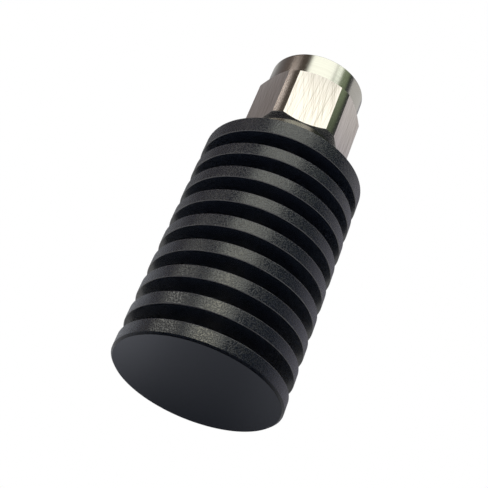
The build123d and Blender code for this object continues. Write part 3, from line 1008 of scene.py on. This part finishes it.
# Brightness of the tent's wall: degrees from the front towards the right, then colour
TENT_STOPS = (
    (-180, "#2E2F31"), (-168, "#4C4D50"), (-152, "#7E7E80"), (-130, "#807D7D"),
    (-110, "#665F5D"), (-95, "#665C57"), (-80, "#584E47"), (-45, "#4B423B"), (30, "#2E312B"),
    (70, "#282C27"), (79, "#58585D"), (87, "#75747B"), (95, "#88868E"), (105, "#95939A"),
    (122, "#9E9BA5"), (140, "#9C9AA2"), (155, "#86848B"), (180, "#606062"),
)
# Brightness of the card under the load: millimetres across from the axis and up from the floor
UNDER_ACROSS = (
    (-40, 0.8), (-17, 0.34), (-8, 0.165), (0, 0.125), (10, 0.1), (19, 0.165), (40, 0.3),
)
UNDER_UP = ((-70, 1.0), (-43, 0.92), (-32, 0.53), (-22, 0.14), (-8, 0.08))
UNDER_TONE, UNDER_GAIN = "#E9ECF6", 2.0
# Brightness of the ring that the rear rim shows: millimetres across from the axis
FLAG_ACROSS = (
    (-16, 0.4), (-14.3, 0.26), (-12, 0.12), (-8.5, 0.004), (5, 0.002), (9, 0.01), (12, 0.15),
    (14.3, 0.3), (16, 0.3),
)
# Heights of the tent's wall and of the dark wall under the floor, in tent radii
WALL_HEIGHTS, CELLAR_HEIGHTS = (0.03, 2.4), (-2.4, -0.02)
# Inner radius of the tent's roof and bottom, in tent radii, which only closes their middle
PIT_RADIUS = 0.001
# Half width, place behind the axis, foot and top of the card under the load, in millimetres
UNDER_CARD = (90, 70, -90, -3)
# The rim's ring: its outer radius in rim radii and its height
FLAG_WIDTH, FLAG_LIFT = 1.6, 0.02 * MM
# Map that the cards' fades follow, the cards' and rings' facets, and the step between two cards
CARD_MAP = "card"
CARD_COLUMNS, CARD_ROWS, RING_SEGMENTS = 24, 8, 96
CARD_STEP = 0.01
LAMP_WIDTH, LAMP_PLACE = 0.8, (-0.35, -0.55, 0.9)
SENSOR_WIDTH, CLIP_RANGE = 36.0, (0.01, 10.0)


class Card(NamedTuple):
    """Glowing card of the light tent.

    Foot and head are its left and right ends at its bottom and its top, in degrees from the front
    towards the right. Heights are shares of the tent's radius. Fades are the shares of its width
    and of its height over which it dims towards each edge.
    """

    name: str
    foot: tuple
    head: tuple
    heights: tuple
    fades: tuple
    code: str
    strength: float


# Each card hangs a step nearer than the one before it
TENT_CARDS = (
    Card("front_softbox", (-42, 4), (-45, 57), (0.26, 1.65), (0.16, 0.18), "#FDFFF2", 1.57),
    Card("softbox_bulb", (-38, 6), (-34, 8), (0.33, 0.64), (0.4, 0.3), "#FFFBE2", 3.0),
    Card("softbox_foot", (-10, 28), (-10, 28), (0.18, 0.38), (0.4, 0.25), "#FFF7E7", 0.42),
    Card("softbox_reach", (24, 60), (30, 68), (0.945, 1.6), (0.22, 0.06), "#FAFFF0", 1.65),
    Card("left_reflector", (-92, -28), (-92, -54), (0.38, 0.64), (0.34, 0.42), "#F7F6E8", 2.2),
    Card("left_wall", (-172, -98), (-172, -98), (-0.1, 0.8), (0.25, 0.4), "#BCBEC3", 1.0),
    Card("left_strip", (-90, -56), (-90, -56), (0.915, 0.99), (0.36, 0.3), "#E8DAD2", 2.8),
    Card("left_upper_wall", (-210, -126), (-210, -126), (0.97, 1.5), (0.3, 0.1), "#BCBBB9", 1.0),
    Card("right_upper_wall", (78, 150), (78, 150), (0.8, 1.6), (0.04, 0.25), "#CAC8C4", 1.0),
    Card("green_edge", (39, 70), (39, 70), (0.9, 1.25), (0.3, 0.2), "#7F8C6E", 1.05),
)


def show_only_in_reflections(card):
    """Keep a card out of sight and out of the light, so that only shiny surfaces show it."""
    card.visible_camera = False
    card.visible_diffuse = False
    card.visible_transmission = False
    card.visible_shadow = False


def graded(tree, value, stops):
    """Colour that runs between stops of (value, colour)."""
    lowest, span = stops[0][0], stops[-1][0] - stops[0][0]
    share = add_node(
        tree, MAP_RANGE, inputs={"Value": value, "From Min": lowest, "From Max": lowest + span}
    )
    ramp = add_node(tree, "ShaderNodeValToRGB", inputs={"Fac": share})
    elements = ramp.color_ramp.elements
    elements[0].color, elements[1].color = stops[0][1], stops[-1][1]
    for place, tone in stops[1:-1]:
        elements.new((place - lowest) / span).color = tone
    return ramp.outputs["Color"]


def graded_grey(tree, value, stops):
    """Grey that runs between stops of (millimetres, level)."""
    return graded(tree, value, [(at * MM, (level, level, level, 1)) for at, level in stops])


def glowing(name, paint):
    """Material of a glowing card; its paint is a hex code, or gives the glow from the place."""
    material, tree = blank_material(name)
    if isinstance(paint, str):
        inputs = {"Color": linear(paint)}
    else:
        inputs = paint(tree, add_node(tree, PLACE).outputs["Object"])
    return show(material, GLOW, inputs)


def wall_glow(tree, place):
    """Brightness by direction, as pale and dark walls round a bench give it."""
    front = add_node(tree, MAPPING, inputs={"Vector": place, "Rotation": (0.0, 0.0, pi / 2)})
    sweep = add_node(
        tree, "ShaderNodeTexGradient", {"gradient_type": "RADIAL"}, {"Vector": front}
    )
    stops = [(0.5 + degrees / 360, linear(code)) for degrees, code in TENT_STOPS]
    return {"Color": graded(tree, sweep.outputs["Fac"], stops)}


def under_glow(tree, place):
    """Brightness that falls from the card's left to its middle and from its foot to its top."""
    parts = add_node(tree, SEPARATE, inputs={0: place}).outputs
    across = graded_grey(tree, parts["X"], UNDER_ACROSS)
    up = graded_grey(tree, parts["Z"], UNDER_UP)
    both = add_node(tree, MATH, "MULTIPLY", {0: across, 1: up})
    strength = add_node(tree, MATH, "MULTIPLY", {0: both, 1: UNDER_GAIN})
    return {"Color": linear(UNDER_TONE), "Strength": strength}


def flag_glow(tree, place):
    """Brightness that rises from the middle of the ring to its left and right."""
    across = add_node(tree, SEPARATE, inputs={0: place}).outputs["X"]
    return {"Color": graded_grey(tree, across, FLAG_ACROSS)}


def card_material(card):
    """Glowing fabric that fades to nothing towards the card's edges."""
    material, tree = blank_material(card.name)
    place = add_node(tree, "ShaderNodeUVMap", {"uv_map": CARD_MAP})
    parts = add_node(tree, SEPARATE, inputs={0: place}).outputs
    cover = 1.0
    for side, fade in zip("XY", card.fades):
        off_middle = add_node(tree, MATH, "SUBTRACT", {0: parts[side], 1: 0.5})
        distance = add_node(tree, MATH, "ABSOLUTE", {0: off_middle})
        dimmed = add_node(
            tree, MAP_RANGE, {"interpolation_type": "SMOOTHSTEP"},
            {"Value": distance, "From Min": 0.5, "From Max": 0.5 - fade},
        )
        cover = add_node(tree, MATH, "MULTIPLY", {0: cover, 1: dimmed})
    glow = add_node(tree, GLOW, inputs={"Color": linear(card.code), "Strength": card.strength})
    return show(material, MIX_SHADER, {0: cover, 1: add_node(tree, CLEAR), 2: glow})


def card_mesh(card, radius):
    """Curved patch of the tent, with a map that runs from 0 to 1 across it and up it."""
    corners, map_corners = [], []
    for row in range(CARD_ROWS + 1):
        up = row / CARD_ROWS
        left, right = (foot + (head - foot) * up for foot, head in zip(card.foot, card.head))
        height = card.heights[0] + (card.heights[1] - card.heights[0]) * up
        for column in range(CARD_COLUMNS + 1):
            across = column / CARD_COLUMNS
            direction = radians(left + (right - left) * across)
            corners.append((radius * sin(direction), -radius * cos(direction), radius * height))
            map_corners.append((across, up))
    step = CARD_COLUMNS + 1
    faces = [
        (i, i + 1, i + step + 1, i + step)
        for row in range(CARD_ROWS)
        for i in range(row * step, row * step + CARD_COLUMNS)
    ]
    mesh = bpy.data.meshes.new(card.name)
    mesh.from_pydata(corners, [], faces)
    layer = mesh.uv_layers.new(name=CARD_MAP)
    for loop in mesh.loops:
        layer.data[loop.index].uv = map_corners[loop.vertex_index]
    return mesh


def under_mesh():
    """Upright card behind the load, below the floor."""
    half, back, foot, top = (size * MM for size in UNDER_CARD)
    mesh = bpy.data.meshes.new("under")
    corners = [(-half, back, foot), (half, back, foot), (half, back, top), (-half, back, top)]
    mesh.from_pydata(corners, [], [(0, 1, 2, 3)])
    return mesh


def ring_mesh(name, inner, outer, rear, front):
    """Band between two circles, given by radius and height."""
    mesh = bpy.data.meshes.new(name)
    work = bmesh.new()
    circles = [
        bmesh.ops.create_circle(
            work, segments=RING_SEGMENTS, radius=radius, matrix=Matrix.Translation((0, 0, height))
        )["verts"]
        for radius, height in ((inner, rear), (outer, front))
    ]
    for i in range(RING_SEGMENTS):
        j = (i + 1) % RING_SEGMENTS
        work.faces.new((circles[0][i], circles[1][i], circles[1][j], circles[0][j]))
    work.to_mesh(mesh)
    work.free()
    return mesh


def floor_material():
    """Pale studio floor: matt from above, and clear from beneath for the camera under the load."""
    material, tree = blank_material("Pale studio floor")
    side = add_node(tree, "ShaderNodeNewGeometry").outputs["Backfacing"]
    matt = add_node(tree, "ShaderNodeBsdfDiffuse", inputs={"Color": linear("#F2F1EE")})
    return show(material, MIX_SHADER, {0: side, 1: matt, 2: add_node(tree, CLEAR)})


def set_world(ambient):
    """Even grey light on the object, and white behind it and in its reflections."""
    world = bpy.data.worlds.new("Studio")
    bpy.context.scene.world = world
    world.use_nodes = True
    tree = world.node_tree
    tree.nodes.clear()
    path = add_node(tree, "ShaderNodeLightPath").outputs
    seen = path["Is Camera Ray"]
    for kind in ("Is Glossy Ray", "Is Transmission Ray"):
        seen = add_node(tree, MATH, "MAXIMUM", {0: seen, 1: path[kind]})
    strength = add_node(tree, MAP_RANGE, inputs={"Value": seen, "To Min": ambient})
    light = add_node(
        tree, "ShaderNodeBackground", inputs={"Color": (1, 1, 1, 1), "Strength": strength}
    )
    add_node(tree, "ShaderNodeOutputWorld", inputs={"Surface": light})


def stage_object(name, mesh, finish):
    """Object that belongs to the stage and not to the part."""
    mesh.materials.append(finish)
    made = bpy.data.objects.new(name, mesh)
    bpy.context.scene.collection.objects.link(made)
    return made


def add_lamp(power):
    """Wide soft lamp overhead, which shiny surfaces don't show."""
    lamp = bpy.data.lights.new("soft_lamp", "AREA")
    lamp.shape, lamp.size, lamp.energy = "DISK", LAMP_WIDTH, power
    hung = bpy.data.objects.new("soft_lamp", lamp)
    bpy.context.scene.collection.objects.link(hung)
    hung.location = LAMP_PLACE
    hung.rotation_euler = hung.location.to_track_quat("Z", "Y").to_euler()
    hung.visible_glossy = False


def add_camera(sizes):
    """Camera at the photograph's angle: below the load, in front, and leaning."""
    lens = bpy.data.cameras.new("camera")
    lens.lens, lens.sensor_width = sizes.lens, SENSOR_WIDTH
    lens.clip_start, lens.clip_end = CLIP_RANGE
    camera = bpy.data.objects.new("camera", lens)
    bpy.context.scene.collection.objects.link(camera)
    back = Vector((0, -1, 0))
    back.rotate(Matrix.Rotation(-sizes.elevation, 3, "X"))
    back.rotate(Matrix.Rotation(sizes.azimuth, 3, "Z"))
    camera.rotation_mode = "QUATERNION"
    upright = (-back).to_track_quat("-Z", "Y")
    camera.rotation_quaternion = upright @ Matrix.Rotation(sizes.roll, 3, "Z").to_quaternion()
    sight = Vector((sizes.sight_x, sizes.sight_y, sizes.sight_z))
    camera.location = sight + back * sizes.camera_distance
    bpy.context.scene.camera = camera


class TERMINATOR_OT_stage(bpy.types.Operator):
    """Set up the studio floor, the light tent, the lamp and the camera"""

    bl_idname = "terminator.stage"
    bl_label = "Stage"

    def execute(self, context):
        scene, sizes = context.scene, context.scene.terminator_stage
        scene.view_settings.view_transform = "Standard"
        set_world(sizes.ambient)
        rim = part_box("heat_sink")[1].x - scene.terminator_heat_sink.rear_edge_break
        floor = ring_mesh("floor", rim, sizes.floor_radius, 0, 0)
        stage_object("studio_floor", floor, floor_material())
        radius = sizes.tent_radius
        foot, top = (share * radius for share in WALL_HEIGHTS)
        bottom, ceiling = (share * radius for share in CELLAR_HEIGHTS)
        # Each ring's name, inner and outer radius, rear and front height, material and paint
        rings = (
            ("tent_roof", PIT_RADIUS * radius, radius, top, top, "Tent roof", "#D4D3CF"),
            ("tent_wall", radius, radius, foot, top, "Tent wall", wall_glow),
            ("tent_cellar", radius, radius, bottom, ceiling, "Cellar", "#3A3C42"),
            ("tent_pit", PIT_RADIUS * radius, radius, bottom, bottom, "Pit", "#101114"),
            ("rim_flag", rim, FLAG_WIDTH * rim, FLAG_LIFT, FLAG_LIFT, "Flag", flag_glow),
        )
        cards = [
            (name, ring_mesh(name, *band), glowing(finish, paint))
            for name, *band, finish, paint in rings
        ]
        cards.append(("under_card", under_mesh(), glowing("Under card", under_glow)))
        for step, card in enumerate(TENT_CARDS, 1):
            mesh = card_mesh(card, radius * (1 - CARD_STEP * step))
            cards.append((card.name, mesh, card_material(card)))
        for card in cards:
            show_only_in_reflections(stage_object(*card))
        add_lamp(sizes.lamp_power)
        add_camera(sizes)
        return {"FINISHED"}


STEPS = (
    TERMINATOR_OT_heat_sink,
    TERMINATOR_OT_coupling_nut,
    TERMINATOR_OT_connector_body,
    TERMINATOR_OT_contacts,
    TERMINATOR_OT_gasket_and_bead,
    TERMINATOR_OT_inner_finishes,
    TERMINATOR_OT_stage,
)


class TERMINATOR_PT_panel(bpy.types.Panel):
    """Steps that make the coaxial terminator"""

    bl_label = "Coaxial terminator"
    bl_idname = "TERMINATOR_PT_panel"
    bl_space_type = "VIEW_3D"
    bl_region_type = "UI"
    bl_category = "Terminator"

    def draw(self, context):
        for step in STEPS:
            self.layout.operator(step.bl_idname)


GROUPS = {
    "terminator_heat_sink": HeatSinkSizes,
    "terminator_nut": NutSizes,
    "terminator_connector": ConnectorSizes,
    "terminator_colours": FinishColours,
    "terminator_stage": StageSettings,
}


def register():
    for kind in (*GROUPS.values(), *STEPS, TERMINATOR_PT_panel):
        bpy.utils.register_class(kind)
    for name, kind in GROUPS.items():
        setattr(bpy.types.Scene, name, PointerProperty(type=kind))


def unregister():
    for name in GROUPS:
        delattr(bpy.types.Scene, name)
    for kind in reversed((*GROUPS.values(), *STEPS, TERMINATOR_PT_panel)):
        bpy.utils.unregister_class(kind)


def main():
    """Make every piece and the stage."""
    register()
    for step in STEPS:
        group, name = step.bl_idname.split(".")
        getattr(getattr(bpy.ops, group), name)()


if __name__ == "__main__":
    main()
